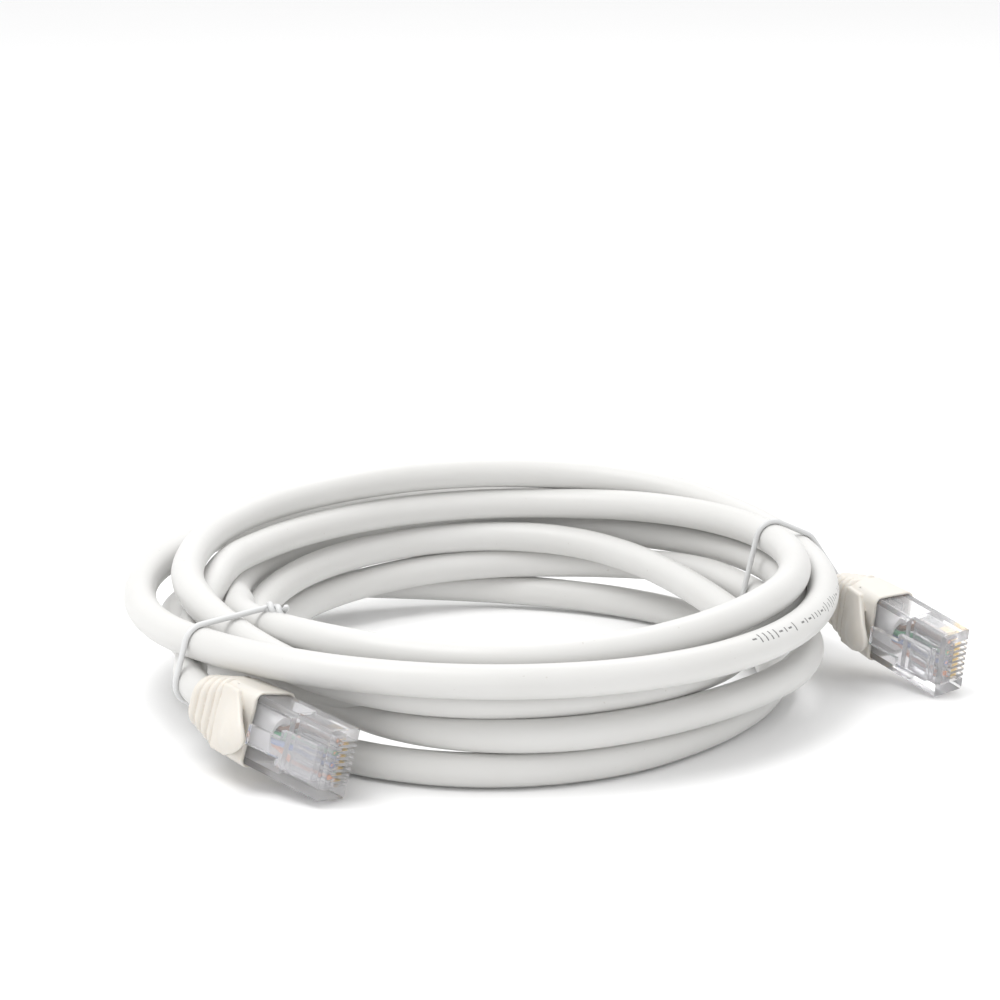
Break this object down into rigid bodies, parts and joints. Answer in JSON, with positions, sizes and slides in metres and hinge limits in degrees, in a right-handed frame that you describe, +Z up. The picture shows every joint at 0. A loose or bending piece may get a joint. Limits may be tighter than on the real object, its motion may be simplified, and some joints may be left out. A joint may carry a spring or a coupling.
{
  "type": "ethernet patch cable",
  "caption": "Coiled white ethernet patch cable held by twist ties, with a clear modular plug, spring latch and ribbed snagless boot at each end.",
  "frame": {"origin": "middle of the bottom of the object's box, on the surface it lies on", "axes": "+Z up, +X to the right along the longest side, +Y to the back"},
  "size_m": [0.1442, 0.1291, 0.03],
  "materials": {
    "cable_jacket": "satin white PVC",
    "boot_pvc": "satin ivory flexible PVC",
    "clear_polycarbonate": "clear moulded polycarbonate",
    "gold_contact": "gold-plated phosphor bronze",
    "copper": "bare copper",
    "wire_white": "white insulation with a coloured stripe",
    "wire_orange": "orange insulation",
    "wire_green": "green insulation",
    "wire_blue": "blue insulation",
    "wire_brown": "brown insulation",
    "tie_plastic": "white plastic covering",
    "tie_steel": "annealed steel wire"
  },
  "bodies": {
    "root": {"cable_coil": "cable_jacket", "cable_tail_a": "cable_jacket", "cable_tail_b": "cable_jacket", "plug_a_boot": "boot_pvc", "plug_a_contact_1": "gold_contact", "plug_a_contact_2": "gold_contact", "plug_a_contact_3": "gold_contact", "plug_a_contact_4": "gold_contact", "plug_a_contact_5": "gold_contact", "plug_a_contact_6": "gold_contact", "plug_a_contact_7": "gold_contact", "plug_a_contact_8": "gold_contact", "plug_a_copper_cores": "copper", "plug_a_housing": "clear_polycarbonate", "plug_a_jacket_end": "cable_jacket", "plug_a_load_bar": "clear_polycarbonate", "plug_a_strain_relief_bar": "clear_polycarbonate", "plug_a_wire_1": "wire_white", "plug_a_wire_2": "wire_orange", "plug_a_wire_3": "wire_white", "plug_a_wire_4": "wire_blue", "plug_a_wire_5": "wire_white", "plug_a_wire_6": "wire_green", "plug_a_wire_7": "wire_white", "plug_a_wire_8": "wire_brown", "plug_b_boot": "boot_pvc", "plug_b_contact_1": "gold_contact", "plug_b_contact_2": "gold_contact", "plug_b_contact_3": "gold_contact", "plug_b_contact_4": "gold_contact", "plug_b_contact_5": "gold_contact", "plug_b_contact_6": "gold_contact", "plug_b_contact_7": "gold_contact", "plug_b_contact_8": "gold_contact", "plug_b_copper_cores": "copper", "plug_b_housing": "clear_polycarbonate", "plug_b_jacket_end": "cable_jacket", "plug_b_load_bar": "clear_polycarbonate", "plug_b_strain_relief_bar": "clear_polycarbonate", "plug_b_wire_1": "wire_white", "plug_b_wire_2": "wire_orange", "plug_b_wire_3": "wire_white", "plug_b_wire_4": "wire_blue", "plug_b_wire_5": "wire_white", "plug_b_wire_6": "wire_green", "plug_b_wire_7": "wire_white", "plug_b_wire_8": "wire_brown", "tie_left_cover": "tie_plastic", "tie_left_wire": "tie_steel", "tie_right_cover": "tie_plastic", "tie_right_wire": "tie_steel"},
    "latch_a": {"plug_a_latch": "clear_polycarbonate"},
    "tongue_a": {"plug_a_boot_tongue": "boot_pvc"},
    "latch_b": {"plug_b_latch": "clear_polycarbonate"},
    "tongue_b": {"plug_b_boot_tongue": "boot_pvc"}
  },
  "joints": [
    {"name": "tongue_a_press", "type": "hinge", "parent": "root", "child": "tongue_a", "pos_m": [-0.05278, -0.05096, 0.01074], "axis": [0.2366, 0.0244, 0.9713], "range_deg": [0, 7.5], "stiffness_Nm_per_rad": 1.2},
    {"name": "latch_a_press", "type": "hinge", "parent": "root", "child": "latch_a", "pos_m": [-0.03653, -0.06365, 0.00711], "axis": [-0.2366, -0.0244, -0.9713], "range_deg": [0, 4.7]},
    {"name": "tongue_b_press", "type": "hinge", "parent": "root", "child": "tongue_b", "pos_m": [0.05303, 0.01041, 0.01043], "axis": [0.0727, -0.2064, 0.9758], "range_deg": [0, 7.5], "stiffness_Nm_per_rad": 1.2},
    {"name": "latch_b_press", "type": "hinge", "parent": "root", "child": "latch_b", "pos_m": [0.06649, -0.00504, 0.00616], "axis": [-0.0727, 0.2064, -0.9758], "range_deg": [0, 4.7]}
  ],
  "couplings": [
    {"joint": "latch_a_press", "follows": "tongue_a_press", "ratio": 0.62},
    {"joint": "latch_b_press", "follows": "tongue_b_press", "ratio": 0.62}
  ]
}
